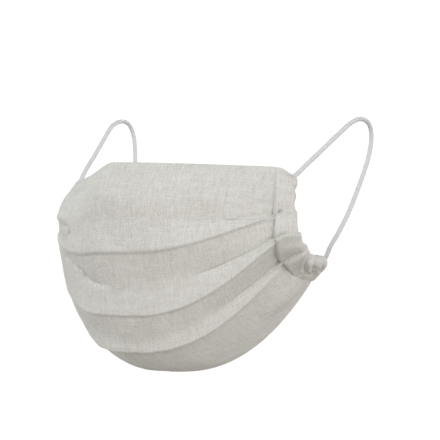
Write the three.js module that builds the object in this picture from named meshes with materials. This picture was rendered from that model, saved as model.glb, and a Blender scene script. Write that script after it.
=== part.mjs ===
// Pleated linen face mask in its worn shape, with one elastic ear loop on each side.
// Millimetres, +Z up. The origin is the nose seat: where the middle of the top edge rests on the
// bridge of the nose. The mask faces -Y, and +X is the wearer's left.
import * as THREE from "three";

// Sizes of the worn cloth
const half_width = 72;
const face_depth = 104;
const worn_height = 113;
const cloth_wall = 1.0;
const tuck_depth = 3.2;
const crease_leg = 1.5;
const right_droop = 8.0;
const right_spread = 5.0;
const right_flat = 0.6;

// Sizes of the side casings
const casing_wall = 1.0;
const casing_edge_radius = 3.3;
const casing_seam_half = 2.3;
const casing_turn = 4;
const gather_swell = 0.3;
const gather_count = 7;
const seam_gap = 0.6;

// Sizes of the ear loops
const cord_diameter = 2.5;
const cord_end_gap = 1.0;

// Number of strips that the surfaces are cut into
const columns = 40;
const casing_rows = 30;
const cord_steps = 40;
const cord_sides = 8;

// Level sections of the smooth form under the pleats. down is the share of the way from the top
// edge to the bottom edge; front_* is the middle of the face, side_* the seam of the casing.
// ridge is how pointed the section is over the nose, sweep and rise how late it turns back and up.
const sections = [
  {
    down: 0.00, front_y: 0.000, front_z: 0.000,
    side_x: 0.910, side_y: 0.535, side_z: -0.014,
    ridge: 0.35, sweep: 2.30, rise: 1.83,
  },
  {
    down: 0.15, front_y: -0.102, front_z: -0.155,
    side_x: 0.958, side_y: 0.485, side_z: -0.120,
    ridge: 0.22, sweep: 2.80, rise: 1.96,
  },
  {
    down: 0.35, front_y: -0.085, front_z: -0.391,
    side_x: 0.984, side_y: 0.454, side_z: -0.248,
    ridge: 0.15, sweep: 2.82, rise: 2.13,
  },
  {
    down: 0.55, front_y: 0.003, front_z: -0.685,
    side_x: 0.997, side_y: 0.442, side_z: -0.343,
    ridge: 0.19, sweep: 2.62, rise: 2.29,
  },
  {
    down: 0.75, front_y: 0.112, front_z: -0.884,
    side_x: 0.925, side_y: 0.582, side_z: -0.452,
    ridge: 0.22, sweep: 2.55, rise: 2.62,
  },
  {
    down: 0.90, front_y: 0.316, front_z: -0.982,
    side_x: 0.850, side_y: 0.822, side_z: -0.536,
    ridge: 0.32, sweep: 2.25, rise: 3.05,
  },
  {
    down: 1.00, front_y: 0.485, front_z: -0.997,
    side_x: 0.821, side_y: 0.994, side_z: -0.556,
    ridge: 0.34, sweep: 2.08, rise: 3.15,
  },
];

// The three pleats, edges upwards. valley is the crease behind, ridge the edge in front of it, each
// as a share of the way down at the middle, part way out and at the casing seam. depth is how deep
// the crease lies there, as a share of tuck_depth.
const part_way = 0.6;
const pleats = [
  {
    valley_mid: 0.250, valley_out: 0.276, valley_seam: 0.338,
    ridge_mid: 0.360, ridge_out: 0.370, ridge_seam: 0.324,
    depth_mid: 0.80, depth_out: 0.72, depth_seam: 1.0,
  },
  {
    valley_mid: 0.475, valley_out: 0.505, valley_seam: 0.574,
    ridge_mid: 0.560, ridge_out: 0.595, ridge_seam: 0.560,
    depth_mid: 0.90, depth_out: 0.85, depth_seam: 1.0,
  },
  {
    valley_mid: 0.700, valley_out: 0.721, valley_seam: 0.780,
    ridge_mid: 0.745, ridge_out: 0.770, ridge_seam: 0.766,
    depth_mid: 0.60, depth_out: 0.70, depth_seam: 1.0,
  },
];

// Outer edge of a casing beside the seam at the same share of the way down.
const casing_edge = [
  { down: 0.00, x: 1.025, y: 0.606, z: -0.038 },
  { down: 0.10, x: 1.030, y: 0.600, z: -0.102 },
  { down: 0.22, x: 1.015, y: 0.592, z: -0.169 },
  { down: 0.32, x: 1.025, y: 0.584, z: -0.222 },
  { down: 0.43, x: 1.058, y: 0.566, z: -0.273 },
  { down: 0.57, x: 1.085, y: 0.570, z: -0.325 },
  { down: 0.73, x: 1.075, y: 0.634, z: -0.380 },
  { down: 0.82, x: 1.027, y: 0.745, z: -0.422 },
  { down: 0.90, x: 0.990, y: 0.865, z: -0.443 },
  { down: 1.00, x: 0.958, y: 0.971, z: -0.438 },
];

// The ear loops outside the casings, each from its top end round behind the ear to its bottom end.
const loop_left = [
  { x: 0.993, y: 0.587, z: -0.032 },
  { x: 0.995, y: 0.606, z: -0.014 },
  { x: 1.002, y: 0.658, z: -0.018 },
  { x: 1.022, y: 0.690, z: 0.000 },
  { x: 1.055, y: 0.722, z: 0.029 },
  { x: 1.100, y: 0.775, z: 0.078 },
  { x: 1.144, y: 0.885, z: 0.155 },
  { x: 1.160, y: 1.000, z: 0.214 },
  { x: 1.165, y: 1.094, z: 0.234 },
  { x: 1.165, y: 1.176, z: 0.213 },
  { x: 1.155, y: 1.215, z: 0.152 },
  { x: 1.135, y: 1.206, z: 0.048 },
  { x: 1.105, y: 1.150, z: -0.086 },
  { x: 1.070, y: 1.062, z: -0.239 },
  { x: 1.035, y: 1.005, z: -0.329 },
  { x: 0.990, y: 0.985, z: -0.388 },
  { x: 0.955, y: 0.990, z: -0.430 },
  { x: 0.930, y: 0.985, z: -0.459 },
];
const loop_right = [
  { x: 1.063, y: 0.592, z: -0.102 },
  { x: 1.066, y: 0.606, z: -0.078 },
  { x: 1.071, y: 0.625, z: -0.052 },
  { x: 1.090, y: 0.677, z: -0.007 },
  { x: 1.114, y: 0.752, z: 0.055 },
  { x: 1.139, y: 0.853, z: 0.139 },
  { x: 1.156, y: 0.939, z: 0.212 },
  { x: 1.164, y: 1.001, z: 0.245 },
  { x: 1.165, y: 1.077, z: 0.265 },
  { x: 1.165, y: 1.137, z: 0.254 },
  { x: 1.163, y: 1.175, z: 0.214 },
  { x: 1.153, y: 1.189, z: 0.146 },
  { x: 1.139, y: 1.182, z: 0.068 },
  { x: 1.118, y: 1.158, z: -0.053 },
  { x: 1.070, y: 1.062, z: -0.239 },
  { x: 1.035, y: 1.005, z: -0.329 },
  { x: 0.990, y: 0.985, z: -0.388 },
  { x: 0.955, y: 0.990, z: -0.430 },
  { x: 0.930, y: 0.985, z: -0.459 },
];

// Its hidden stretch up the casing: how far down it is, and how far out from the seam.
const hidden_route = [
  { down: 0.97, out: 0.98 },
  { down: 0.84, out: 0.97 },
  { down: 0.70, out: 0.95 },
  { down: 0.57, out: 0.88 },
  { down: 0.45, out: 0.90 },
  { down: 0.32, out: 0.95 },
  { down: 0.18, out: 0.96 },
  { down: 0.05, out: 0.98 },
];

const linen = { color: 0xcfccc0, roughness: 0.95, metalness: 0 };
const casing_linen = { color: 0xcbc8bb, roughness: 0.95, metalness: 0 };
const elastic = { color: 0xe3e4e8, roughness: 0.7, metalness: 0 };

// Smooth curve through the rows of a table, for one column.
function along(rows, key, at) {
  const last = rows.length - 2;
  const t = Math.min(Math.max(at, rows[0].down), rows[last + 1].down);
  let i = 0;
  while (i < last && rows[i + 1].down <= t) {
    i += 1;
  }
  const step = (k) => rows[k + 1].down - rows[k].down;
  const slope = (k) => (rows[k + 1][key] - rows[k][key]) / step(k);
  const inner = (k) => (slope(k - 1) * step(k) + slope(k) * step(k - 1)) / (step(k - 1) + step(k));
  const m0 = i > 0 ? inner(i) : 1.5 * slope(0) - 0.5 * inner(1);
  const m1 = i < last ? inner(i + 1) : 1.5 * slope(last) - 0.5 * inner(last);
  const h = step(i);
  const s = (t - rows[i].down) / h;
  const near = (2 * s ** 3 - 3 * s ** 2 + 1) * rows[i][key] + (s ** 3 - 2 * s ** 2 + s) * h * m0;
  return near + (3 * s ** 2 - 2 * s ** 3) * rows[i + 1][key] + (s ** 3 - s ** 2) * h * m1;
}

// How far the wearer's right-hand side hangs below the left one, and stands out at its top corner.
function rightness(u, w) {
  if (u >= 0) {
    return { droop: 0, spread: 0 };
  }
  const up = Math.max(1 - w, 0);
  return { droop: (1 - Math.exp(-((-u / 0.22) ** 1.6))) * up ** 2.2, spread: u * u * up ** 15 };
}

// A point of the smooth form: u runs -1 to 1 from seam to seam, w 0 to 1 from top to bottom.
function form(u, w) {
  const t = Math.abs(u);
  const of = (key) => along(sections, key, w);
  const soft = 0.18;
  const point = (Math.hypot(t, soft) - soft) / (Math.hypot(1, soft) - soft);
  const back = of("ridge") * point + (1 - of("ridge")) * t ** of("sweep");
  const right = rightness(u, w);
  const rise = of("front_z") + (of("side_z") - of("front_z")) * t ** of("rise");
  return new THREE.Vector3(
    half_width * of("side_x") * u - right_spread * right.spread,
    face_depth * (of("front_y") + (of("side_y") - of("front_y")) * back),
    worn_height * rise - right_droop * right.droop,
  );
}

const probe = 0.002;

function across(u, w) {
  return form(Math.min(u + probe, 1), w).sub(form(Math.max(u - probe, -1), w)).normalize();
}

function downward(u, w) {
  return form(u, Math.min(w + probe, 1)).sub(form(u, Math.max(w - probe, 0)));
}

// Outward direction, away from the face, smoothed over a stretch of the way down.
const smoothing = 0.12;

function outward(u, w) {
  const reach = form(u, Math.min(w + smoothing, 1)).sub(form(u, Math.max(w - smoothing, 0)));
  return across(u, w).cross(reach).normalize().negate();
}

// Even curve through a value at the middle, one part way out and one at the seam.
function even(u, middle, out, seam) {
  const p = part_way ** 2;
  const bend = ((out - middle) - p * (seam - middle)) / (p * p - p);
  const t = u * u;
  return middle + (seam - middle - bend) * t + bend * t * t;
}

// Corners of the cloth's path down the face at u, as share down and distance out.
function path_corners(u) {
  const corners = [{ w: 0, out: 0 }];
  for (const p of pleats) {
    const flat = 1 - right_flat * Math.exp(-(((u + 0.65) / 0.22) ** 2));
    const depth = tuck_depth * flat * even(u, p.depth_mid, p.depth_out, p.depth_seam);
    corners.push({ w: even(u, p.valley_mid, p.valley_out, p.valley_seam), out: -depth });
    corners.push({ w: even(u, p.ridge_mid, p.ridge_out, p.ridge_seam), out: 0 });
  }
  corners.push({ w: 1, out: 0 });
  return corners;
}

const mix = (a, b, s) => ({ w: a.w + (b.w - a.w) * s, out: a.out + (b.out - a.out) * s });

// Steps along each stretch between two creases: wide panels take more than the turned-in cloth.
const stretch_steps = [7, 2, 4, 2, 3, 2, 7];

function cloth_path(u) {
  const c = path_corners(u);
  const mm = (a, b) => {
    const pace = downward(u, (a.w + b.w) / 2).length() / (2 * probe);
    return Math.hypot(pace * (b.w - a.w), b.out - a.out);
  };
  const rows = [c[0]];
  let from = c[0];
  for (let i = 1; i < c.length; i += 1) {
    const end = i === c.length - 1;
    const share = Math.min(0.45, crease_leg / mm(c[i - 1], c[i]));
    const to = end ? c[i] : mix(c[i], c[i - 1], share);
    const steps = stretch_steps[i - 1];
    for (let k = 1; k < steps; k += 1) {
      rows.push(mix(from, to, k / steps));
    }
    rows.push(to);
    if (!end) {
      from = mix(c[i], c[i + 1], Math.min(0.45, crease_leg / mm(c[i], c[i + 1])));
      rows.push(mix(mix(to, from, 0.5), c[i], 0.5));
      rows.push(from);
    }
  }
  return rows.map((r) => form(u, r.w).addScaledVector(outward(u, r.w), r.out - cloth_wall / 2));
}

// Closed solid from a grid of points: each cell of each face becomes two triangles.
function solid(points, faces) {
  const geometry = new THREE.BufferGeometry();
  const coordinates = points.flatMap((p) => [p.x, p.y, p.z]);
  geometry.setAttribute("position", new THREE.Float32BufferAttribute(coordinates, 3));
  geometry.setIndex(faces.flatMap(([a, b, c, d]) => [a, b, c, a, c, d]));
  const flat = geometry.toNonIndexed();
  flat.computeVertexNormals();
  return flat;
}

function piece(name, geometry, look) {
  const mesh = new THREE.Mesh(geometry, new THREE.MeshStandardMaterial(look));
  mesh.name = name;
  return mesh;
}

// One sheet: its middle surface thickened both ways and closed round its four edges.
function sheet_solid() {
  const lines = [];
  for (let i = 0; i <= columns; i += 1) {
    const a = -1 + (2 * i) / columns;
    lines.push(cloth_path(1.25 * a - 0.25 * a ** 3));
  }
  const rows = lines[0].length;
  const at = (i, j) => lines[Math.min(Math.max(i, 0), columns)][Math.min(Math.max(j, 0), rows - 1)];
  const unit = (a, b) => b.clone().sub(a).normalize();
  const points = [];
  for (const side of [1, -1]) {
    for (let i = 0; i <= columns; i += 1) {
      for (let j = 0; j < rows; j += 1) {
        const here = at(i, j);
        const sideways = at(i + 1, j).clone().sub(at(i - 1, j)).normalize();
        const down = new THREE.Vector3();
        if (j > 0) {
          down.add(unit(at(i, j - 1), here));
        }
        if (j < rows - 1) {
          down.add(unit(here, at(i, j + 1)));
        }
        const normal = down.cross(sideways).normalize();
        points.push(here.clone().addScaledVector(normal, side * cloth_wall / 2));
      }
    }
  }
  const id = (s, i, j) => s * (columns + 1) * rows + i * rows + j;
  const faces = [];
  for (let i = 0; i < columns; i += 1) {
    for (let j = 0; j < rows - 1; j += 1) {
      faces.push([id(0, i, j), id(0, i, j + 1), id(0, i + 1, j + 1), id(0, i + 1, j)]);
      faces.push([id(1, i, j), id(1, i + 1, j), id(1, i + 1, j + 1), id(1, i, j + 1)]);
    }
    faces.push([id(0, i, 0), id(0, i + 1, 0), id(1, i + 1, 0), id(1, i, 0)]);
    faces.push([id(0, i, rows - 1), id(1, i, rows - 1), id(1, i + 1, rows - 1), id(0, i + 1, rows - 1)]);
  }
  for (let j = 0; j < rows - 1; j += 1) {
    faces.push([id(0, 0, j), id(1, 0, j), id(1, 0, j + 1), id(0, 0, j + 1)]);
    faces.push([id(0, columns, j), id(0, columns, j + 1), id(1, columns, j + 1), id(1, columns, j)]);
  }
  return solid(points, faces);
}

const mirrored = (side, v) => new THREE.Vector3(side * v.x, v.y, v.z);

// Middle line of a casing's cross-section at w: from the seam, round to its outer edge.
function casing_line(side, w) {
  const out = outward(side, w);
  const away = across(side, w).multiplyScalar(side);
  const seam = form(side, w).addScaledVector(out, -tuck_depth / 2 - cloth_wall / 2);
  seam.addScaledVector(away, seam_gap);
  const right = rightness(side, w);
  const edge = mirrored(side, new THREE.Vector3(
    half_width * along(casing_edge, "x", w) + right_spread * right.spread,
    face_depth * along(casing_edge, "y", w),
    worn_height * along(casing_edge, "z", w) - right_droop * right.droop,
  ));
  const inner = edge.clone().addScaledVector(edge.clone().sub(seam).normalize(), -casing_edge_radius);
  const turn = seam.clone().addScaledVector(away, casing_turn);
  return { seam, turn, inner, out };
}

function casing_point(line, s) {
  const a = line.seam.clone().lerp(line.turn, s);
  const b = line.turn.clone().lerp(line.inner, s);
  return a.lerp(b, s);
}

// Ring of a casing's wall round its middle line; inset is how far inside the outer face it lies.
function casing_ring(side, w, inset) {
  const line = casing_line(side, w);
  const swell = gather_swell * Math.sin(w * gather_count * 2 * Math.PI);
  const ahead = casing_point(casing_line(side, Math.min(w + 0.01, 1)), 1);
  const along_axis = ahead.sub(casing_point(casing_line(side, Math.max(w - 0.01, 0)), 1)).normalize();
  const ring = [];
  const stations = [0, 0.45, 1];
  const half = [casing_seam_half, (casing_seam_half + casing_edge_radius) / 2 + swell, casing_edge_radius];
  const sides = { front: [], back: [] };
  let last;
  stations.forEach((s, k) => {
    const here = casing_point(line, s);
    const ahead = casing_point(line, Math.min(s + 0.02, 1));
    const tangent = ahead.sub(casing_point(line, Math.max(s - 0.02, 0)));
    tangent.normalize();
    const face = k === 0 ? line.out.clone() : along_axis.clone().cross(tangent).normalize();
    if (face.dot(line.out) < 0) {
      face.negate();
    }
    const base = here.clone();
    if (k === 0) {
      base.addScaledVector(tangent, inset);
    }
    sides.front.push(base.clone().addScaledVector(face, half[k] - inset));
    sides.back.push(base.clone().addScaledVector(face, inset - half[k]));
    last = { here, tangent, face };
  });
  ring.push(...sides.front);
  for (const angle of [45, 90, 135]) {
    const a = (angle * Math.PI) / 180;
    const r = casing_edge_radius - inset;
    const p = last.here.clone().addScaledVector(last.tangent, r * Math.sin(a));
    ring.push(p.addScaledVector(last.face, r * Math.cos(a)));
  }
  ring.push(...sides.back.reverse());
  return ring;
}

function casing_solid(side) {
  const points = [];
  let count = 0;
  for (const inset of [0, casing_wall]) {
    for (let i = 0; i <= casing_rows; i += 1) {
      const ring = casing_ring(side, i / casing_rows, inset);
      count = ring.length;
      points.push(...ring);
    }
  }
  const id = (s, i, j) => s * (casing_rows + 1) * count + i * count + (j % count);
  const faces = [];
  for (let j = 0; j < count; j += 1) {
    for (let i = 0; i < casing_rows; i += 1) {
      faces.push([id(0, i, j), id(0, i + 1, j), id(0, i + 1, j + 1), id(0, i, j + 1)]);
      faces.push([id(1, i, j), id(1, i, j + 1), id(1, i + 1, j + 1), id(1, i + 1, j)]);
    }
    faces.push([id(0, 0, j), id(0, 0, j + 1), id(1, 0, j + 1), id(1, 0, j)]);
    const n = casing_rows;
    faces.push([id(0, n, j), id(1, n, j), id(1, n, j + 1), id(0, n, j + 1)]);
  }
  return solid(points, side > 0 ? faces : faces.map((f) => [...f].reverse()));
}

// The whole loop of elastic: round behind the ear, then back up inside the casing, where its two
// ends meet.
function loop_solid(side) {
  const rows = side > 0 ? loop_left : loop_right;
  const outside = rows.map(
    (p) => new THREE.Vector3(side * half_width * p.x, face_depth * p.y, worn_height * p.z),
  );
  const inside = hidden_route.map((h) => casing_point(casing_line(side, h.down), h.out));
  const meet = 1;
  const route = [...inside.slice(meet), ...outside, ...inside.slice(0, meet)];
  const end_direction = inside[meet - 1].clone().sub(inside[meet]).normalize();
  route.push(inside[meet].clone().addScaledVector(end_direction, cord_end_gap));
  const path = new THREE.CatmullRomCurve3(route, false, "centripetal");
  const section = new THREE.Shape();
  for (let k = 0; k < cord_sides; k += 1) {
    const a = (2 * Math.PI * k) / cord_sides;
    const x = (cord_diameter / 2) * Math.cos(a);
    const y = (cord_diameter / 2) * Math.sin(a);
    if (k === 0) {
      section.moveTo(x, y);
    } else {
      section.lineTo(x, y);
    }
  }
  section.closePath();
  return new THREE.ExtrudeGeometry(section, { steps: cord_steps, extrudePath: path, curveSegments: 1 });
}

const mask = new THREE.Group();
mask.name = "cloth_face_mask";
mask.add(piece("pleated_body", sheet_solid(), linen));
mask.add(piece("casing_left", casing_solid(1), casing_linen));
mask.add(piece("casing_right", casing_solid(-1), casing_linen));
mask.add(piece("ear_loop_left", loop_solid(1), elastic));
mask.add(piece("ear_loop_right", loop_solid(-1), elastic));

export default mask;
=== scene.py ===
# Worn pleated linen face mask with elastic ear loops. Metres, +Z up, origin at the nose seat.
import math

import bpy
import numpy as np
from mathutils import Matrix, Vector


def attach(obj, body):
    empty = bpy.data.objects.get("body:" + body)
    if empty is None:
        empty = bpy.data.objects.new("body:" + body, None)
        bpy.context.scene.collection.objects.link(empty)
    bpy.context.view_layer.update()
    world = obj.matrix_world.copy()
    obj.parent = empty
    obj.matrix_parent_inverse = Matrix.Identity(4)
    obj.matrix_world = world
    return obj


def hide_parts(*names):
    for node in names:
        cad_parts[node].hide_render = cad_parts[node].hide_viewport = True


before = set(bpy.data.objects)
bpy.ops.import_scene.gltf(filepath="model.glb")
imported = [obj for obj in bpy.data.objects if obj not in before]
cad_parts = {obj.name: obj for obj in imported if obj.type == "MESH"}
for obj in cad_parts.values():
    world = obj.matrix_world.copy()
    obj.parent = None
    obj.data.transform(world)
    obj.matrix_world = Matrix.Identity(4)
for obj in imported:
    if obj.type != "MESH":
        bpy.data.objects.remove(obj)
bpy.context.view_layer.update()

# Camera.
# The mask is seen from its left front, level with the nose, through a long lens. The camera leans
# a third of a degree, as the picture does.
view_azimuth = math.radians(35.0)
view_elevation = math.radians(0.4812)
view_roll = math.radians(0.3525)
eye = Vector((0.47646, -0.58223, -0.02299))
lens_length = 118.007
sensor_width = 36.0

backward = Vector((
    math.sin(view_azimuth) * math.cos(view_elevation),
    -math.cos(view_azimuth) * math.cos(view_elevation),
    math.sin(view_elevation),
))
level = Vector((math.cos(view_azimuth), math.sin(view_azimuth), 0.0))
upright = backward.cross(level)
right = level * math.cos(view_roll) + upright * math.sin(view_roll)
top = upright * math.cos(view_roll) - level * math.sin(view_roll)
camera_data = bpy.data.cameras.new("camera")
camera_data.sensor_width = sensor_width
camera_data.lens = lens_length
camera_data.clip_start = 0.01
camera_data.clip_end = 20.0
camera = bpy.data.objects.new("camera", camera_data)
turned = Matrix((right, top, backward)).transposed().to_4x4()
camera.matrix_world = Matrix.Translation(eye) @ turned
bpy.context.scene.collection.objects.link(camera)
bpy.context.scene.camera = camera

# Ear loops.
# Two loops of round white knitted elastic, 2.5 mm thick. Each runs from the top of its casing
# behind the ear and back up inside the casing from its bottom end, where its two ends are joined.
half_width = 0.072
face_depth = 0.104
worn_height = 0.113
elastic_diameter = 0.0025
elastic_end_gap = 0.001
elastic_sides = 20
elastic_step = 0.0008

# Shares of the three sizes above, from the top end of a loop to its bottom end.
loop_outside = {
    "left": (
        (0.990, 0.588, -0.062),
        (0.992, 0.616, -0.054),
        (1.004, 0.654, -0.032),
        (1.028, 0.690, 0.000),
        (1.057, 0.722, 0.030),
        (1.100, 0.775, 0.078),
        (1.144, 0.885, 0.155),
        (1.160, 1.000, 0.214),
        (1.165, 1.094, 0.234),
        (1.165, 1.176, 0.213),
        (1.155, 1.215, 0.152),
        (1.135, 1.206, 0.048),
        (1.105, 1.150, -0.086),
    ),
    "right": (
        (1.050, 0.592, -0.124),
        (1.060, 0.614, -0.104),
        (1.080, 0.636, -0.066),
        (1.079, 0.682, -0.007),
        (1.100, 0.759, 0.055),
        (1.126, 0.859, 0.139),
        (1.146, 0.944, 0.212),
        (1.164, 1.001, 0.245),
        (1.165, 1.077, 0.265),
        (1.165, 1.137, 0.254),
        (1.163, 1.175, 0.214),
        (1.153, 1.189, 0.146),
        (1.139, 1.182, 0.068),
        (1.118, 1.158, -0.053),
    ),
}
loop_foot = (
    (1.070, 1.062, -0.239),
    (1.035, 1.005, -0.329),
    (0.990, 0.985, -0.388),
    (0.955, 0.990, -0.430),
    (0.930, 0.985, -0.459),
)
loop_inside = {
    "left": (
        (0.929, 0.943, -0.464),
        (0.975, 0.761, -0.445),
        (1.038, 0.590, -0.379),
        (1.044, 0.530, -0.328),
        (1.034, 0.526, -0.285),
        (1.005, 0.550, -0.225),
        (0.995, 0.563, -0.147),
        (0.992, 0.582, -0.067),
    ),
    "right": (
        (0.929, 0.943, -0.464),
        (0.975, 0.761, -0.446),
        (1.038, 0.590, -0.384),
        (1.045, 0.530, -0.339),
        (1.034, 0.526, -0.304),
        (1.006, 0.550, -0.256),
        (0.999, 0.563, -0.192),
        (1.024, 0.582, -0.129),
    ),
}


def loop_points(side, rows):
    return [np.array((side * half_width * x, face_depth * y, worn_height * z)) for x, y, z in rows]


def smooth_path(points, step):
    """Even points along the centripetal curve through the given ones."""
    points = [2 * points[0] - points[1], *points, 2 * points[-1] - points[-2]]
    fine = []
    for p0, p1, p2, p3 in zip(points, points[1:], points[2:], points[3:]):
        pairs = ((p0, p1), (p1, p2), (p2, p3))
        d0, d1, d2 = (math.sqrt(np.linalg.norm(b - a)) for a, b in pairs)
        start = ((p1 - p0) / d0 - (p2 - p0) / (d0 + d1) + (p2 - p1) / d1) * d1
        finish = ((p2 - p1) / d1 - (p3 - p1) / (d1 + d2) + (p3 - p2) / d2) * d1
        for t in np.linspace(0, 1, 40, endpoint=False):
            bend = (2 * t**3 - 3 * t**2 + 1) * p1 + (t**3 - 2 * t**2 + t) * start
            fine.append(bend + (3 * t**2 - 2 * t**3) * p2 + (t**3 - t**2) * finish)
    fine = np.array([*fine, points[-2]])
    reach = np.concatenate(([0.0], np.cumsum(np.linalg.norm(np.diff(fine, axis=0), axis=1))))
    count = max(2, round(reach[-1] / step))
    even = np.linspace(0, reach[-1], count + 1)
    return np.stack([np.interp(even, reach, fine[:, k]) for k in range(3)], 1), reach[-1]


def lofted(name, rings, across, down, closed=False, caps=None):
    """Mesh through rings of points. across and down are each point's place on the flat cloth in
    metres; closed joins the last ring to the first, and caps is how an open end is filled."""
    count, size = rings.shape[:2]
    spans = count if closed else count - 1
    i, j = (g.ravel() for g in np.meshgrid(np.arange(spans), np.arange(size), indexing="ij"))
    i2, j2 = (i + 1) % count, (j + 1) % size
    faces = np.stack([i * size + j, i2 * size + j, i2 * size + j2, i * size + j2], 1).tolist()
    uv = [
        np.stack([across[a, b], down[a, b]], 1)
        for a, b in ((i, j), (i + 1, j), (i + 1, j + 1), (i, j + 1))
    ]
    uv = np.stack(uv, 1).reshape(-1, 2)
    if caps is not None:
        for ring, turn in ((0, 1), (count - 1, -1)):
            for cell in caps:
                cell = list(cell)[::turn]
                faces.append([ring * size + k for k in cell])
                uv = np.concatenate((uv, [[across[ring, k], down[ring, k]] for k in cell]))
    points = rings.reshape(-1, 3)
    mesh = bpy.data.meshes.new(name)
    mesh.from_pydata(points.tolist(), [], faces)
    mesh.uv_layers.new(name="cloth").data.foreach_set("uv", uv.astype(np.float32).ravel())
    mesh.polygons.foreach_set("use_smooth", [True] * len(faces))
    mesh.calc_loop_triangles()
    a, b, c = (points[[t.vertices[k] for t in mesh.loop_triangles]] for k in range(3))
    if np.einsum("ij,ij->i", a, np.cross(b, c)).sum() < 0:
        mesh.flip_normals()
    mesh.update()
    made = bpy.data.objects.new(name, mesh)
    bpy.context.scene.collection.objects.link(made)
    return made


def round_cord(name, path, diameter, sides):
    """Tube along a path, with its turn carried on from point to point."""
    ahead = np.gradient(path, axis=0)
    ahead /= np.linalg.norm(ahead, axis=1)[:, None]
    out = np.cross(ahead[0], (0.0, 0.0, 1.0))
    turns = np.arange(sides) * 2 * math.pi / sides
    rings = []
    for point, along_it in zip(path, ahead):
        out = out - along_it * (out @ along_it)
        out /= np.linalg.norm(out)
        over = np.cross(along_it, out)
        ring = np.outer(np.cos(turns), out) + np.outer(np.sin(turns), over)
        rings.append(point + diameter / 2 * ring)
    reach = np.concatenate(([0.0], np.cumsum(np.linalg.norm(np.diff(path, axis=0), axis=1))))
    around = np.linspace(0, math.pi * diameter, sides + 1)
    across = np.tile(around, (len(path), 1))
    down = np.tile(reach[:, None], (1, sides + 1))
    return lofted(name, np.array(rings), across, down, caps=[range(sides)])


class Shade:
    """A value that varies over a finish. Sums and products of them add Math nodes."""

    def __init__(self, finish, socket):
        self.finish = finish
        self.socket = socket

    def maths(self, operation, other=None, swapped=False):
        pair = [other, self] if swapped else [self, other]
        return self.finish.node("ShaderNodeMath", {"operation": operation}, pair)

    def __add__(self, other):
        return self.maths("ADD", other)

    def __radd__(self, other):
        return self.maths("ADD", other, True)

    def __sub__(self, other):
        return self.maths("SUBTRACT", other)

    def __rsub__(self, other):
        return self.maths("SUBTRACT", other, True)

    def __mul__(self, other):
        return self.maths("MULTIPLY", other)

    def __rmul__(self, other):
        return self.maths("MULTIPLY", other, True)

    def __mod__(self, other):
        return self.maths("FLOORED_MODULO", other)

    def __rmod__(self, other):
        return self.maths("FLOORED_MODULO", other, True)


class Finish:
    """A node material: its shader's own sockets hold what is the same all over."""

    def __init__(self, name, **constants):
        self.material = bpy.data.materials.new(name)
        self.material.use_nodes = True
        self.tree = self.material.node_tree
        self.shader = self.tree.nodes["Principled BSDF"]
        for socket, value in constants.items():
            self.shader.inputs[socket.replace("_", " ").title()].default_value = value

    def node(self, kind, settings=None, sockets=(), out=0):
        made = self.tree.nodes.new(kind)
        for key, value in (settings or {}).items():
            if key == "stops":
                ramp = made.color_ramp
                while len(ramp.elements) < len(value):
                    ramp.elements.new(0.5)
                for element, (place, colour) in zip(ramp.elements, value):
                    element.position = place
                    element.color = (*colour, 1.0)
            else:
                setattr(made, key, value)
        named = sockets.items() if isinstance(sockets, dict) else enumerate(sockets)
        for key, value in named:
            if isinstance(value, Shade):
                self.tree.links.new(value.socket, made.inputs[key])
            elif value is not None:
                made.inputs[key].default_value = value
        return Shade(self, made.outputs[out])

    def feed(self, socket, value):
        self.tree.links.new(value.socket, self.shader.inputs[socket])

    def flat_place(self):
        """The two distances along the cloth, in metres."""
        place = self.node("ShaderNodeUVMap", {"uv_map": "cloth"})
        parts = self.node("ShaderNodeSeparateXYZ", None, [place])
        return parts, Shade(self, parts.socket.node.outputs[1])

    def cloudy(self, x, y, scale, detail=2.0, seed=0.0):
        """Soft noise from 0 to 1 over two distances."""
        at = self.node("ShaderNodeCombineXYZ", None, [x, y, seed])
        settings = {"Vector": at, "Scale": scale, "Detail": detail, "Roughness": 0.5}
        return self.node("ShaderNodeTexNoise", None, settings)

    def blend(self, factor, first, second):
        sockets = {0: factor, 6: first, 7: second}
        return self.node("ShaderNodeMix", {"data_type": "RGBA"}, sockets, 2)


elastic = Finish("knitted_elastic", roughness=0.72, sheen_weight=0.25, sheen_roughness=0.5)
elastic_rib = 0.0011
elastic_strands = 10.0
around, lengthwise = elastic.flat_place()
rib_turn = around * (1.0 / (math.pi * elastic_diameter)) * elastic_strands
rib_run = lengthwise * (1.0 / elastic_rib)
left_rib = ((rib_turn + rib_run) * math.pi).maths("SINE")
right_rib = ((rib_turn - rib_run) * math.pi).maths("SINE")
knit = (left_rib * right_rib).maths("ABSOLUTE")
soil = elastic.cloudy(around, lengthwise, 60.0, seed=3.0)
elastic_white = (0.80, 0.825, 0.85, 1.0)
elastic_shade = (0.70, 0.725, 0.75, 1.0)
elastic.feed("Base Color", elastic.blend(knit * 0.03 + soil * 0.50, elastic_white, elastic_shade))
knit_bump = {"Strength": 0.05, "Distance": 0.0001, "Height": knit}
elastic.feed("Normal", elastic.node("ShaderNodeBump", None, knit_bump))

for side, side_name in ((1, "left"), (-1, "right")):
    inside = loop_points(side, loop_inside[side_name])
    meeting = 1
    outside = loop_points(side, (*loop_outside[side_name], *loop_foot))
    route = [*inside[meeting:], *outside, *inside[:meeting]]
    towards = inside[meeting - 1] - inside[meeting]
    route.append(inside[meeting] + towards / np.linalg.norm(towards) * elastic_end_gap)
    path, length = smooth_path(route, elastic_step)
    loop = round_cord(f"elastic_{side_name}", path, elastic_diameter, elastic_sides)
    loop.data.materials.append(elastic.material)
    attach(loop, "root")
    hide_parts(f"ear_loop_{side_name}")

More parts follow.
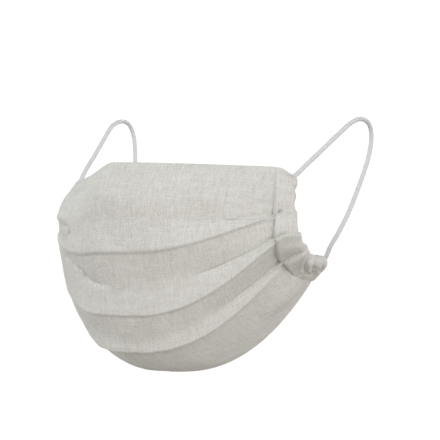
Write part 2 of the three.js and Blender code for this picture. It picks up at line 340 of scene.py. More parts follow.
# Pleated body.
# The face of the mask: one panel of unbleached linen, doubled, with three level pleats that face
# upwards. They are sewn shut in the side seams and open over the nose and chin.
right_droop = 0.0080
right_spread = 0.0050
right_flat_lip = 0.6
right_flat_tuck = 0.82
cloth_wall = 0.0010
cloth_half_span = 0.095
cloth_drop = 0.150
tuck_depth = 0.0032
hem_turn = 0.0085
hem_step = 0.00025
hem_sharpness = 0.00035
seam_length = 0.104
seam_groove = 0.0002
seam_groove_width = 0.0012

# Level sections of the form under the pleats, as shares of the sizes. front_* is the middle of
# the face and side_* the seam; ridge, sweep and rise say how a section turns back and up.
section_columns = (
    "down", "front_y", "front_z", "side_x", "side_y", "side_z", "ridge", "sweep", "rise"
)
section_rows = (
    (0.00, 0.000, 0.000, 0.910, 0.535, -0.014, 0.35, 2.30, 1.83),
    (0.15, -0.102, -0.155, 0.958, 0.485, -0.120, 0.22, 2.80, 1.96),
    (0.35, -0.085, -0.391, 0.984, 0.454, -0.248, 0.15, 2.82, 2.13),
    (0.55, 0.003, -0.685, 0.997, 0.442, -0.343, 0.19, 2.62, 2.29),
    (0.75, 0.112, -0.884, 0.925, 0.582, -0.452, 0.22, 2.55, 2.62),
    (0.90, 0.316, -0.982, 0.850, 0.822, -0.536, 0.32, 2.25, 3.05),
    (1.00, 0.485, -0.997, 0.821, 0.994, -0.556, 0.34, 2.08, 3.15),
)

# Each pleat's crease behind (valley) and edge in front (ridge), as shares of the way down at the
# middle, part way out and at the seam. Its depth and the drop below its edge (lip) are shares of
# tuck_depth and lip_drop. On the wearer's right the creases are pulled up by the two lifts. The
# crease behind is pressed crisp from crisp_from to the left seam, and also on the right where
# crisp_far is 1.
part_way = 0.6
pleats = (
    {
        "valley": (0.250, 0.274, 0.338),
        "ridge": (0.360, 0.370, 0.324),
        "depth": (1.15, 1.15, 1.0),
        "lip": (1.0, 1.0, 1.0),
        "valley_lift": 0.00,
        "ridge_lift": 0.01,
        "crisp_from": 0.80,
        "crisp_far": 0.0,
    },
    {
        "valley": (0.475, 0.503, 0.574),
        "ridge": (0.560, 0.595, 0.560),
        "depth": (0.95, 1.60, 1.0),
        "lip": (1.0, 1.0, 0.2),
        "valley_lift": 0.085,
        "ridge_lift": 0.04,
        "crisp_from": 0.66,
        "crisp_far": 1.0,
    },
    {
        "valley": (0.700, 0.721, 0.780),
        "ridge": (0.745, 0.770, 0.766),
        "depth": (0.95, 1.30, 1.0),
        "lip": (1.0, 1.0, -0.5),
        "valley_lift": 0.03,
        "ridge_lift": 0.02,
        "crisp_from": 0.78,
        "crisp_far": 0.0,
    },
)


def table(columns, rows):
    return dict(zip(columns, np.array(rows, float).T))


def through(rows, column, at):
    """Smooth curve through one column of a table."""
    x, y = rows["down"], rows[column]
    h = np.diff(x)
    slope = np.diff(y) / h
    m = np.empty_like(y)
    m[1:-1] = (slope[:-1] * h[1:] + slope[1:] * h[:-1]) / (h[:-1] + h[1:])
    m[0] = 1.5 * slope[0] - 0.5 * m[1]
    m[-1] = 1.5 * slope[-1] - 0.5 * m[-2]
    at = np.clip(at, x[0], x[-1])
    i = np.clip(np.searchsorted(x, at, side="right") - 1, 0, len(h) - 1)
    s = (at - x[i]) / h[i]
    near = (2 * s**3 - 3 * s**2 + 1) * y[i] + (s**3 - 2 * s**2 + s) * h[i] * m[i]
    return near + (3 * s**2 - 2 * s**3) * y[i + 1] + (s**3 - s**2) * h[i] * m[i + 1]


sections = table(section_columns, section_rows)


def rightness(u, w):
    """How far the wearer's right side hangs lower, and stands out at its top corner."""
    reach, onset, droop_fade, corner_fade = 0.22, 1.6, 2.2, 15
    rightward = np.maximum(-u, 0)
    up = np.maximum(1 - w, 0)
    droop = (1 - np.exp(-((rightward / reach) ** onset))) * up**droop_fade
    return droop, rightward**2 * up**corner_fade


def form(u, w):
    """A point of the form under the pleats: u from seam to seam, -1 to 1, and w down, 0 to 1."""
    u, w = np.broadcast_arrays(np.asarray(u, float), np.asarray(w, float))
    t = np.abs(u)
    of = {c: through(sections, c, w) for c in section_columns[1:]}
    soft = 0.18
    point = (np.hypot(t, soft) - soft) / (math.hypot(1, soft) - soft)
    back = of["ridge"] * point + (1 - of["ridge"]) * t ** of["sweep"]
    droop, spread = rightness(u, w)
    x = half_width * of["side_x"] * u - right_spread * spread
    y = face_depth * (of["front_y"] + (of["side_y"] - of["front_y"]) * back)
    z = worn_height * (of["front_z"] + (of["side_z"] - of["front_z"]) * t ** of["rise"])
    return np.stack([x, y, z - right_droop * droop], -1)


def unit(v):
    return v / np.linalg.norm(v, axis=-1, keepdims=True)


def soft_step(x, width):
    """0 well below zero and 1 well above it."""
    return 1 / (1 + np.exp(-x / width))


def bell(x, width):
    return np.exp(-((x / width) ** 2))


probe = 0.002
smoothing = 0.12


def sideways(u, w):
    return unit(form(np.minimum(u + probe, 1), w) - form(np.maximum(u - probe, -1), w))


def outward(u, w):
    """Direction away from the face, smoothed over a stretch of the way down."""
    reach = form(u, np.minimum(w + smoothing, 1)) - form(u, np.maximum(w - smoothing, 0))
    return -unit(np.cross(sideways(u, w), reach))


def even_curve(u, middle, out, seam):
    p = part_way**2
    bend = ((out - middle) - p * (seam - middle)) / (p * p - p)
    return middle + (seam - middle - bend) * u**2 + bend * u**4


def rumple(u, w):
    """Soft unevenness of worn cloth, in metres."""
    x, y = u * 1000 * cloth_half_span, w * 1000 * cloth_drop
    rise = 0.32 * np.sin(x / 11.0 + 1.3 * np.sin(y / 17.0)) * np.sin(y / 13.0 + 0.7)
    rise += 0.22 * np.sin(x / 6.1 + y / 8.3 + 1.9) * np.sin(x / 15.0 - y / 21.0)
    rise += 0.10 * np.sin(x / 2.9 - y / 9.0 + 2.0 * np.sin(x / 19.0))
    return 0.001 * rise * np.clip(w / 0.05, 0, 1) * np.clip((1 - w) / 0.05, 0, 1)


def near_seam(u):
    """1 at the seam, fading over one or two centimetres of cloth."""
    fade = 0.012
    return np.exp(-(1 - np.abs(u)) * cloth_half_span / fade)


def seam_gathers(u, w):
    """Short puckers that run in from the side seams, in metres."""
    height = 0.00022
    y = w * 1000 * seam_length
    wave = np.sin(y / 1.9 + 1.7 * np.sin(w * 23.0)) + 0.5 * np.sin(y / 0.8 + 0.4)
    return height * wave * near_seam(u)


body_columns = 250
crease_points = 6
ridge_leg = 0.0008
soft_leg = 0.0050
tight_leg = 0.0009
lip_rise = 0.0003
lip_drop = 0.0012
lip_width = 0.012
panel_steps = (26, 10, 2, 14, 10, 2, 12, 8, 2, 22)
along = np.linspace(-1, 1, body_columns + 1)
u = 1.25 * along - 0.25 * along**3

# On the wearer's right the creases are pulled up, and the edges and the tucks lie flatter.
pulled_up = bell(u + 0.50, 0.26) * (1 - u**8)
flat_lip = 1 - right_flat_lip * bell(u + 0.65, 0.22)
flat_tuck = 1 - right_flat_tuck * bell(u + 0.62, 0.24)
inside_seams = 1 - u**40
crisp_on_right = np.exp(-(((u + 0.24) / 0.22) ** 4))
corners = [(np.zeros_like(u), np.zeros_like(u), None)]
crisp = []
for pleat in pleats:
    valley = even_curve(u, *pleat["valley"]) - pleat["valley_lift"] * pulled_up
    ridge = even_curve(u, *pleat["ridge"]) - pleat["ridge_lift"] * pulled_up
    depth = tuck_depth * flat_tuck * even_curve(u, *pleat["depth"])
    pressed = pleat["crisp_far"] * crisp_on_right + soft_step(u - pleat["crisp_from"], 0.03)
    crisp.append(np.clip(pressed, 0, 1))
    valley_leg = soft_leg + (tight_leg - soft_leg) * crisp[-1]
    corners.append((valley, -depth, valley_leg))
    corners.append((ridge, lip_rise * inside_seams, ridge_leg))
    drop = lip_drop * flat_lip * inside_seams * even_curve(u, *pleat["lip"])
    corners.append((ridge + lip_width, -drop, tight_leg))
corners.append((np.ones_like(u), np.zeros_like(u), None))


def toward(a, b, share):
    return a[0] + (b[0] - a[0]) * share, a[1] + (b[1] - a[1]) * share


def crease_share(a, b, leg):
    middle = (a[0] + b[0]) / 2
    pace = np.linalg.norm(form(u, middle + probe) - form(u, middle - probe), axis=-1) / (2 * probe)
    return np.minimum(0.46, leg / np.hypot(pace * (b[0] - a[0]), b[1] - a[1]))


path_rows = [corners[0][:2]]
start = corners[0]
for before, corner, after, steps in zip(corners, corners[1:], (*corners[2:], None), panel_steps):
    stop = corner
    if after:
        stop = toward(corner, before, crease_share(before, corner, corner[2]))
    for step in range(1, steps + 1):
        path_rows.append(toward(start, stop, step / steps))
    if after:
        start = toward(corner, after, crease_share(corner, after, corner[2]))
        for step in range(1, crease_points + 1):
            t = step / crease_points
            path_rows.append(toward(toward(stop, corner, t), toward(corner, start, t), t))
down_share = np.array([r[0] for r in path_rows]).T
out_reach = np.array([r[1] for r in path_rows]).T
wide_u = np.repeat(u[:, None], down_share.shape[1], axis=1)

out_reach = out_reach + rumple(wide_u, down_share) + seam_gathers(wide_u, down_share)
out_reach -= seam_groove * bell((1 - np.abs(wide_u)) * cloth_half_span, seam_groove_width)
for from_edge in (down_share, 1 - down_share):
    out_reach += hem_step * soft_step(hem_turn - from_edge * cloth_drop, hem_sharpness)

# A soft ridge runs down from the nose.
nose_ridge_height = 0.0009
nose_line = -0.03 - 0.40 * down_share
nose_ridge = bell(wide_u - nose_line, 0.045) * bell(down_share, 0.22)
out_reach += nose_ridge_height * nose_ridge * np.clip(down_share / 0.04, 0, 1)

# Small dents and bumps: their place, half their size as shares, and their height in millimetres.
# The first three lie by the left seam, and the others on the wearer's right.
dents = (
    # u, w, wide, tall, height
    (0.910, 0.300, 0.060, 0.0055, -1.6),
    (0.900, 0.318, 0.060, 0.0065, 0.8),
    (0.935, 0.895, 0.090, 0.0500, 3.4),
    (-0.390, 0.287, 0.017, 0.0075, -4.6),
    (-0.275, 0.443, 0.022, 0.0070, -3.4),
    (-0.220, 0.565, 0.240, 0.0550, 1.4),
    (-0.530, 0.222, 0.110, 0.0200, 1.8),
    (-0.520, 0.256, 0.090, 0.0100, -2.8),
    (-0.560, 0.325, 0.120, 0.0300, -1.4),
)
for at_u, at_w, wide, tall, height in dents:
    out_reach += 0.001 * height * bell(wide_u - at_u, wide) * bell(down_share - at_w, tall)

# Pressed creases behind the pleats, where they are crisp.
crease_depth = 0.0014
crease_share_width = 0.0055
for pressed, corner in zip(crisp, corners[1::3]):
    past = down_share - corner[0][:, None]
    out_reach -= crease_depth * pressed[:, None] * bell(past, crease_share_width)

# The middle pleat's flap stands up along its crease on the right.
flap_rise = 0.0015
flap_rise_fade = 0.045
flap_sink = 0.0009
flap_sink_fade = 0.020
past = down_share - corners[4][0][:, None]
over = soft_step(past, 0.0025)
flap = flap_rise * over * np.exp(-np.maximum(past, 0) / flap_rise_fade)
flap -= flap_sink * (1 - over) * np.exp(np.minimum(past, 0) / flap_sink_fade)
out_reach += flap * soft_step(wide_u + 0.52, 0.03) * soft_step(-0.03 - wide_u, 0.02)

# The lowest panel is drawn in under the last pleat's edge.
drawn_in = 0.0012
most_drawn_at = 0.05
under = np.maximum(down_share - corners[8][0][:, None], 0) / most_drawn_at
under_span = soft_step(wide_u + 0.40, 0.06) * soft_step(0.70 - wide_u, 0.05)
out_reach -= drawn_in * under * np.exp(1 - under) * under_span
from_form = (out_reach - cloth_wall / 2)[..., None]
middle_skin = form(wide_u, down_share) + outward(wide_u, down_share) * from_form


def cloth_sheet(name, skin, wall, rim_points=3):
    """Closed sheet from its middle surface, thickened both ways, with round edges top and foot."""
    over = np.gradient(skin, axis=0)
    ahead = np.diff(skin, axis=1)
    ahead /= np.linalg.norm(ahead, axis=2, keepdims=True)
    down = np.concatenate((ahead[:, :1], ahead[:, 1:] + ahead[:, :-1], ahead[:, -1:]), 1)
    normal = unit(np.cross(over, down))
    front, back = skin + normal * wall / 2, skin - normal * wall / 2
    count = skin.shape[1]
    turns = [math.pi * (k + 1) / (rim_points + 1) for k in range(rim_points)]

    def rim(j, way, first):
        turned = unit(down[:, j]) * way
        facing = normal[:, j] * first
        arcs = [facing * math.cos(a) + turned * math.sin(a) for a in turns]
        return np.stack([skin[:, j] + wall / 2 * arc for arc in arcs], 1)

    rings = np.concatenate((front, rim(count - 1, 1, 1), back[:, ::-1], rim(0, -1, -1)), 1)
    reach = np.linalg.norm(np.diff(skin, axis=1), axis=2)
    reach = np.concatenate((np.zeros((len(skin), 1)), np.cumsum(reach, 1)), 1)
    middle = len(skin) // 2
    wide = np.linalg.norm(np.diff(skin, axis=0), axis=2)
    wide = np.concatenate((np.zeros((1, count)), np.cumsum(wide, 0)), 0)
    wide = wide - wide[middle]

    def around(values):
        foot = np.repeat(values[:, -1:], rim_points, 1)
        head = np.repeat(values[:, :1], rim_points, 1)
        return np.concatenate((values, foot, values[:, ::-1], head, values[:, :1]), 1)

    far = 2 * count + rim_points - 1
    caps = [(j, j + 1, far - j - 1, far - j) for j in range(count - 1)]
    caps.append((count - 1, *range(count, count + rim_points), count + rim_points))
    size = rings.shape[1]
    caps.append((far, *range(far + 1, size), 0))
    return lofted(name, rings, around(wide), around(reach), caps=caps)


linen = Finish("plain_linen", roughness=0.92, sheen_weight=0.12, sheen_roughness=0.6)
thread_pitch = 0.00062
across_cloth, down_cloth = linen.flat_place()
warp = across_cloth * (1 / thread_pitch)
weft = down_cloth * (1 / thread_pitch)
warp_round = (warp * math.pi).maths("SINE").maths("ABSOLUTE")
weft_round = (weft * math.pi).maths("SINE").maths("ABSOLUTE")
over_under = (warp.maths("FLOOR") + weft.maths("FLOOR")) % 2.0
warp_top = warp_round * (0.55 + 0.45 * weft_round)
weft_top = weft_round * (0.55 + 0.45 * warp_round)
weave = over_under * warp_top + (1.0 - over_under) * weft_top
warp_slub = linen.cloudy(warp.maths("FLOOR") * 1.31, weft * 0.11, 1.0, 2.0, seed=1.7)
weft_slub = linen.cloudy(warp * 0.07, weft.maths("FLOOR") * 1.17, 1.0, 2.0, seed=8.2)
blotch = linen.cloudy(across_cloth, down_cloth, 60.0, 3.0, seed=5.0)
streak = linen.cloudy(across_cloth * 0.35, down_cloth * 1.6, 160.0, 3.0, seed=6.4)
speck = linen.cloudy(across_cloth, down_cloth * 0.7, 1600.0, 2.0, seed=2.0)
fleck = linen.cloudy(warp.maths("FLOOR") * 0.83, weft * 0.16, 1.0, 1.0, seed=4.3)
fleck = fleck.maths("GREATER_THAN", 0.66)
tone = 0.48 * warp_slub + 0.32 * weft_slub + 0.16 * blotch + 0.12 * streak + 0.62 * speck
# Painted shade: the linen is made a little darker where the threads dip, in the hollows between and
# under them.
tone = tone + 0.05 * (1.0 - weave) - 0.10 * fleck - 0.33
linen_tone = linen.node(
    "ShaderNodeValToRGB",
    {
        "stops": (
            (0.25, (0.90, 0.91, 0.885)),
            (0.54, (0.765, 0.767, 0.733)),
            (0.86, (0.56, 0.54, 0.485)),
        )
    },
    [tone],
)
linen.feed("Base Color", linen_tone)
thickness = weave * 0.5 + warp_slub * 0.7 + weft_slub * 0.7 + speck * 0.4
thread_bump = {"Strength": 0.35, "Distance": 0.0003, "Height": thickness}
linen.feed("Normal", linen.node("ShaderNodeBump", None, thread_bump))

body = cloth_sheet("linen_body", middle_skin, cloth_wall)
body.data.materials.append(linen.material)
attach(body, "root")
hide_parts("pleated_body")

# Side casings.
# The sides of the panel are turned back and sewn down as a narrow casing round the elastic. The
# pleats run on into it as steps, and it is gathered a little along the elastic.
casing_wall = 0.0008
casing_edge_radius = 0.0031
casing_seam_half = 0.0011
casing_turn = 0.004
casing_gap = -0.0002
casing_seam_lift = 0.0005
casing_mouth = 0.0055
casing_mouth_fade = 0.04
casing_step_at_edge = 0.4
casing_back_shift = 0.04
casing_back_gather = 0.8
casing_rows = 380
casing_stations = 31
casing_edge_turns = 9

casing_edge = table(("down", "x", "y", "z"), (
    (0.00, 1.025, 0.606, -0.038),
    (0.10, 1.030, 0.600, -0.102),
    (0.15, 1.021, 0.597, -0.130),
    (0.22, 1.015, 0.592, -0.169),
    (0.32, 1.025, 0.584, -0.222),
    (0.43, 1.058, 0.566, -0.273),
    (0.57, 1.085, 0.570, -0.325),
    (0.73, 1.075, 0.634, -0.380),
    (0.82, 1.027, 0.745, -0.422),
    (0.90, 0.990, 0.865, -0.443),
    (1.00, 0.958, 0.971, -0.438),
))

# How far the outer edge stands out (or in) between its gathers, in millimetres.
scallops = table(("down", "out"), (
    (0.00, -1.4),
    (0.03, -0.3),
    (0.08, 0.2),
    (0.13, -0.7),
    (0.18, 0.4),
    (0.25, -0.3),
    (0.31, 0.5),
    (0.40, 0.5),
    (0.49, -0.2),
    (0.56, 0.4),
    (0.66, 0.0),
    (0.77, 0.6),
    (0.84, -0.4),
    (0.90, 0.4),
    (1.00, 0.0),
))

# Where each pleat's edge crosses the casing, at the seam and at the outer edge, and how strongly.
casing_steps = ((0.322, 0.318, 1.0), (0.562, 0.528, 1.6), (0.766, 0.735, 1.5))
casing_step_rise = 0.0016
casing_step_rise_fade = 0.13
casing_step_groove = 0.0014
casing_step_groove_fade = 0.016
casing_step_sharpness = 0.0012

# A dent just above the first of them, where the photo shows a dark tuck.
casing_dent = {"s": 0.33, "w": 0.304, "wide": 0.11, "tall": 0.010, "depth": 0.0030}

# Creases of the gathered foot: from and to, each as shares out to the edge and down, and depth
# in millimetres.
foot_creases = (
    (0.05, 0.868, 0.66, 0.868, 1.7),
    (1.10, 0.785, 0.64, 0.880, 1.5),
    (1.10, 0.858, 0.62, 0.925, 1.6),
    (1.10, 0.925, 0.84, 0.965, 1.0),
    (0.48, 0.860, 0.54, 0.870, 1.0),
    (0.90, 0.893, 0.94, 0.900, 1.0),
)
casing_width = 0.014
crease_width = 0.0011
foot_roll = 0.0007
foot_roll_width = 0.0020


def casing_steps_at(s, w):
    """How far the pleats stand out of the casing's face, in metres."""
    rise = np.zeros(np.broadcast(s, w).shape)
    for at_seam, at_edge, strength in casing_steps:
        past = w - (at_seam + (at_edge - at_seam) * s)
        over = soft_step(past, casing_step_sharpness)
        below = over * np.exp(-np.maximum(past, 0) / casing_step_rise_fade)
        above = (1 - over) * np.exp(np.minimum(past, 0) / casing_step_groove_fade)
        rise += strength * (casing_step_rise * below - casing_step_groove * above)
    dent = bell(s - casing_dent["s"], casing_dent["wide"])
    dent = dent * bell(w - casing_dent["w"], casing_dent["tall"])
    return rise - casing_dent["depth"] * dent


def casing_gathers(s, w):
    """Folds across the casing, deeper towards its ends and its outer edge, in metres."""
    calm_height, head_height, head_reach = 0.00012, 0.00035, 0.16
    calm = np.sin(w * 41.0 + 1.5 * np.sin(w * 9.0)) + 0.6 * np.sin(w * 77.0 + 2.0 * s)
    head = np.clip((head_reach - w) / head_reach, 0, 1) * np.sin(w * 95.0 + 1.0 - 1.5 * s)
    rise = (calm_height * calm + head_height * head) * (0.3 + 0.7 * s)
    for s_from, w_from, s_to, w_to, deep in foot_creases:
        dx, dy = casing_width * (s_to - s_from), seam_length * (w_to - w_from)
        x, y = casing_width * (s - s_from), seam_length * (w - w_from)
        t = np.clip((x * dx + y * dy) / (dx * dx + dy * dy), 0, 1)
        off = np.hypot(x - t * dx, y - t * dy) / crease_width
        rise = rise + 0.001 * deep * (0.45 * np.exp(-((off - 1.9) ** 2)) - np.exp(-(off**2)))
    to_end = (1 - w) * seam_length
    crease = bell(to_end - 2.6 * foot_roll_width, 0.4 * foot_roll_width)
    rise = rise - foot_roll * crease * (0.4 + 0.6 * s)
    return rise + foot_roll * bell(to_end - foot_roll_width, foot_roll_width)


for side, side_name in ((1, "left"), (-1, "right")):
    w = np.linspace(0, 1, casing_rows + 1)
    out = outward(side, w)
    away = sideways(side, w) * side
    seam_out = casing_seam_lift - tuck_depth / 2 - cloth_wall / 2
    seam = form(side, w) + out * seam_out + away * casing_gap
    droop, spread = rightness(np.full_like(w, side), w)
    edge = np.stack([
        side * (half_width * through(casing_edge, "x", w) + right_spread * spread),
        face_depth * through(casing_edge, "y", w),
        worn_height * through(casing_edge, "z", w) - right_droop * droop,
    ], -1)
    edge += unit(edge - seam) * (0.001 * through(scallops, "out", w))[:, None]
    inner = edge - unit(edge - seam) * casing_edge_radius
    turn = seam + away * casing_turn
    stations = np.linspace(0, 1, casing_stations)[:, None, None]
    middle = (1 - stations) ** 2 * seam + 2 * stations * (1 - stations) * turn + stations**2 * inner
    outwards = unit(np.gradient(middle, axis=0))
    along_axis = unit(np.gradient(middle[-1], axis=0))
    face = unit(np.cross(along_axis[None], outwards))
    face *= np.sign(np.einsum("ijk,jk->ij", face, out))[..., None]
    face[0] = out
    s = stations[..., 0]
    swell = casing_seam_half + (casing_edge_radius - casing_seam_half) * np.sqrt(s)
    step_share = 1 - (1 - casing_step_at_edge) * s**4
    front_rise = swell + casing_steps_at(s, w) * step_share + casing_gathers(s, w)
    back_rise = swell + casing_gathers(s, w + casing_back_shift) * casing_back_gather
    rings = []
    for inset in (0.0, casing_wall):
        front = middle + face * (front_rise - inset)[..., None]
        back = middle - face * (back_rise - inset)[..., None]
        mouth = along_axis * (casing_mouth * np.exp(-w / casing_mouth_fade))[:, None]
        back += mouth * np.clip(2 * stations, 0, 1)
        front[0] += outwards[0] * inset
        back[0] += outwards[0] * inset
        arcs = []
        for k in range(1, casing_edge_turns + 1):
            a = math.pi * k / (casing_edge_turns + 1)
            lift = np.where(a < math.pi / 2, front_rise[-1], back_rise[-1]) - inset
            reach = (front_rise[-1] + back_rise[-1]) / 2 - inset
            arcs.append(
                middle[-1]
                + outwards[-1] * (reach * math.sin(a))[:, None]
                + face[-1] * (lift * math.cos(a))[:, None]
                + mouth * (a / math.pi)
            )
        rings.append(np.concatenate((front, arcs, back[::-1])).transpose(1, 0, 2))
    outer, lining = rings
    loops = np.concatenate((outer, lining[::-1]))
    around_it = np.linalg.norm(np.diff(outer, axis=1, append=outer[:, :1]), axis=2)
    around_it = np.concatenate((np.zeros((len(outer), 1)), np.cumsum(around_it, 1)), 1)
    run = np.linalg.norm(np.diff(seam, axis=0), axis=1)
    run = np.concatenate(([0.0], np.cumsum(run)))
    around_it = np.concatenate((around_it, around_it[::-1], around_it[:1]))
    run = np.concatenate((run, run[::-1], run[:1]))
    run = np.tile(run[:, None], (1, loops.shape[1] + 1))
    casing = lofted(f"linen_casing_{side_name}", loops, around_it, run, closed=True)
    casing.data.materials.append(linen.material)
    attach(casing, "root")
    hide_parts(f"casing_{side_name}")

# Behind each seam lies the turned-in edge of the panel, a flat strip that closes it.
allowance_wide = (-0.0050, 0.0012)
allowance_lines = 6
allowance_points = 160
allowance_short = 0.015
allowance_spacing = 0.0012
allowance_wall = 0.0006
allowance_depth = 0.0046
for side, side_name in ((1, "left"), (-1, "right")):
    w = np.linspace(allowance_short, 1 - allowance_short, allowance_points)
    out = outward(side, w)
    away = sideways(side, w) * side
    across = np.linspace(*allowance_wide, allowance_lines)
    near = form(side, w) - out * allowance_depth
    lines = [near + away * place for place in across]
    lines += [near - out * allowance_wall + away * place for place in across[::-1]]
    rings = np.stack(lines, 1)
    around_it = np.tile(np.arange(rings.shape[1] + 1) * allowance_spacing, (len(w), 1))
    run = np.tile((w * seam_length)[:, None], (1, rings.shape[1] + 1))
    ends = [range(rings.shape[1])]
    strip = lofted(f"seam_allowance_{side_name}", rings, around_it, run, caps=ends)
    strip.data.materials.append(linen.material)
    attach(strip, "root")

# Seam stitching.
# One row of lockstitch in cream sewing thread holds each casing, all the way down the seam and
# through the folded pleats.
stitch_tree = bpy.data.node_groups.new("stitch_row", "GeometryNodeTree")
stitch_sockets = {}
for socket_name, kind, in_out in (
    ("Seam", "NodeSocketGeometry", "INPUT"),
    ("Stitch Length", "NodeSocketFloat", "INPUT"),
    ("Gap", "NodeSocketFloat", "INPUT"),
    ("Thread Radius", "NodeSocketFloat", "INPUT"),
    ("Thread", "NodeSocketMaterial", "INPUT"),
    ("Stitches", "NodeSocketGeometry", "OUTPUT"),
):
    made = stitch_tree.interface.new_socket(socket_name, in_out=in_out, socket_type=kind)
    stitch_sockets[socket_name] = made.identifier


def stitch_node(kind, settings=None, **values):
    made = stitch_tree.nodes.new(kind)
    for key, value in (settings or {}).items():
        setattr(made, key, value)
    for key, value in values.items():
        target = made.inputs[key.replace("_", " ")]
        if isinstance(value, bpy.types.NodeSocket):
            stitch_tree.links.new(value, target)
        else:
            target.default_value = value
    return made


given = stitch_node("NodeGroupInput").outputs
pitch = stitch_node("ShaderNodeMath", {"operation": "ADD"})
stitch_tree.links.new(given["Stitch Length"], pitch.inputs[0])
stitch_tree.links.new(given["Gap"], pitch.inputs[1])
line = stitch_node("GeometryNodeMeshToCurve", Mesh=given["Seam"])
places = stitch_node(
    "GeometryNodeCurveToPoints",
    {"mode": "LENGTH"},
    Curve=line.outputs[0],
    Length=pitch.outputs[0],
)
half_stitch = stitch_node("ShaderNodeMath", {"operation": "MULTIPLY"})
stitch_tree.links.new(given["Stitch Length"], half_stitch.inputs[0])
half_stitch.inputs[1].default_value = 0.5
bead = stitch_node("GeometryNodeMeshUVSphere", Segments=8, Rings=6, Radius=1.0)
radius = given["Thread Radius"]
size = stitch_node("ShaderNodeCombineXYZ", X=radius, Y=radius, Z=half_stitch.outputs[0])
placed = stitch_node(
    "GeometryNodeInstanceOnPoints",
    Points=places.outputs["Points"],
    Instance=bead.outputs["Mesh"],
    Rotation=places.outputs["Rotation"],
    Scale=size.outputs[0],
)
real = stitch_node("GeometryNodeRealizeInstances", Geometry=placed.outputs[0])
smooth = stitch_node("GeometryNodeSetShadeSmooth", Geometry=real.outputs[0])
threaded = stitch_node(
    "GeometryNodeSetMaterial", Geometry=smooth.outputs[0], Material=given["Thread"]
)
result = stitch_node("NodeGroupOutput")
stitch_tree.links.new(threaded.outputs[0], result.inputs["Stitches"])

thread = Finish("sewing_thread", roughness=0.8, sheen_weight=0.1)
thread_place = thread.node("ShaderNodeTexCoord", out=3)
fuzz_sockets = {"Vector": thread_place, "Scale": 2500.0, "Detail": 2.0}
fuzz = thread.node("ShaderNodeTexNoise", None, fuzz_sockets)
thread.feed("Base Color", thread.blend(fuzz, (0.74, 0.73, 0.67, 1.0), (0.55, 0.53, 0.47, 1.0)))
fuzz_bump = {"Strength": 0.3, "Distance": 0.0001, "Height": fuzz}
thread.feed("Normal", thread.node("ShaderNodeBump", None, fuzz_bump))

stitch_row_short = 0.01
stitch_row_points = 400
stitch_lift = 0.00005
stitch_offset = 0.0002
for side, side_name in ((1, "left"), (-1, "right")):
    w = np.linspace(stitch_row_short, 1 - stitch_row_short, stitch_row_points)
    lie = stitch_lift - seam_groove
    seam_line = form(side, w) + outward(side, w) * lie + sideways(side, w) * side * stitch_offset
    row = bpy.data.meshes.new("seam_line")
    row.from_pydata(seam_line.tolist(), [(k, k + 1) for k in range(len(w) - 1)], [])
    carrier = bpy.data.objects.new("seam_line", row)
    bpy.context.scene.collection.objects.link(carrier)
    maker = carrier.modifiers.new("stitches", "NODES")
    maker.node_group = stitch_tree
    for socket_name, value in (
        ("Stitch Length", 0.0021),
        ("Gap", 0.0007),
        ("Thread Radius", 0.00017),
        ("Thread", thread.material),
    ):
        maker[stitch_sockets[socket_name]] = value
    shown = carrier.evaluated_get(bpy.context.evaluated_depsgraph_get())
    sewn = bpy.data.meshes.new_from_object(shown)
    stitches = bpy.data.objects.new(f"seam_stitches_{side_name}", sewn)
    bpy.context.scene.collection.objects.link(stitches)
    bpy.data.objects.remove(carrier)
    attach(stitches, "root")

# Floor and light.
# A plain pale floor lies well below the mask, which is held up in the air at its nose seat, in
# white surroundings. Broad soft lights stand ahead and above, over it, and at both sides, and
# less and warmer light comes up from below.
floor_mesh = bpy.data.meshes.new("floor")
floor_radius = 0.9
floor_level = -0.52
floor_sides = 96
turns = [2 * math.pi * k / floor_sides for k in range(floor_sides)]
rim = [(floor_radius * math.cos(a), floor_radius * math.sin(a), floor_level) for a in turns]
floor_mesh.from_pydata(rim, [], [list(range(floor_sides))])
floor = bpy.data.objects.new("floor", floor_mesh)
bpy.context.scene.collection.objects.link(floor)
floor_finish = Finish("pale_floor", roughness=0.9)
floor_place = floor_finish.node("ShaderNodeTexCoord", out=3)
grain = floor_finish.node("ShaderNodeTexNoise", None, {"Vector": floor_place, "Scale": 3.0})
floor_light = (0.72, 0.70, 0.67, 1.0)
floor_dark = (0.69, 0.67, 0.64, 1.0)
floor_finish.feed("Base Color", floor_finish.blend(grain, floor_light, floor_dark))
floor_mesh.materials.append(floor_finish.material)

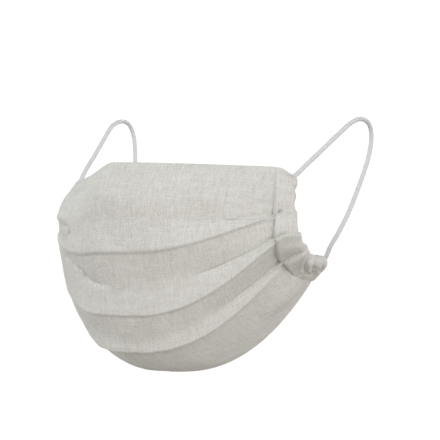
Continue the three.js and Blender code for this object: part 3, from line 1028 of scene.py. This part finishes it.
world = bpy.data.worlds.new("studio")
bpy.context.scene.world = world
world.use_nodes = True
sky = world.node_tree
surround = sky.nodes["Background"]
direction = sky.nodes.new("ShaderNodeTexCoord")
heights = sky.nodes.new("ShaderNodeSeparateXYZ")
sky.links.new(direction.outputs["Generated"], heights.inputs[0])
spread_out = sky.nodes.new("ShaderNodeMapRange")
spread_out.inputs["From Min"].default_value = -1.0
spread_out.inputs["From Max"].default_value = 1.0
sky.links.new(heights.outputs[2], spread_out.inputs["Value"])

# Light from each height: 0 is straight below, 0.5 level and 1 straight above.
light_from = (
    (0.00, (0.33, 0.26, 0.19)),
    (0.44, (0.33, 0.26, 0.19)),
    (0.54, (1.50, 1.50, 1.50)),
    (0.65, (1.50, 1.50, 1.50)),
    (0.78, (0.05, 0.05, 0.05)),
    (1.00, (0.05, 0.05, 0.05)),
)
fall = sky.nodes.new("ShaderNodeValToRGB")
while len(fall.color_ramp.elements) < len(light_from):
    fall.color_ramp.elements.new(0.5)
for element, (place, colour) in zip(fall.color_ramp.elements, light_from):
    element.position = place
    element.color = (*colour, 1.0)
sky.links.new(spread_out.outputs[0], fall.inputs[0])
seen = sky.nodes.new("ShaderNodeLightPath")
choose = sky.nodes.new("ShaderNodeMix")
choose.data_type = "RGBA"
choose.inputs[7].default_value = (1.05, 1.05, 1.05, 1.0)
sky.links.new(seen.outputs["Is Camera Ray"], choose.inputs[0])
sky.links.new(fall.outputs[0], choose.inputs[6])
sky.links.new(choose.outputs[2], surround.inputs["Color"])
surround.inputs["Strength"].default_value = 1.0

middle_of_mask = Vector((0.0, 0.04, -0.05))
white = (1.0, 1.0, 1.0)
cool = (0.80, 0.92, 1.0)


def soft_light(name, at, size, power, colour=white):
    """A square panel of light, aimed at the middle of the mask. Metres and watts."""
    data = bpy.data.lights.new(name, "AREA")
    data.shape = "SQUARE"
    data.size = size
    data.energy = power
    data.color = colour
    lamp = bpy.data.objects.new(name, data)
    lamp.location = at
    lamp.rotation_euler = (middle_of_mask - Vector(at)).to_track_quat("-Z", "Y").to_euler()
    bpy.context.scene.collection.objects.link(lamp)


soft_light("key", (0.70, -0.80, 0.95), 0.7, 4.2)
soft_light("overhead", (0.00, -0.15, 1.30), 0.8, 2.6)
soft_light("picture_left", (-1.25, -0.35, 0.30), 0.9, 2.8, cool)
soft_light("picture_right", (1.30, -0.10, 0.15), 0.9, 1.6)
bpy.context.scene.view_settings.view_transform = "Standard"
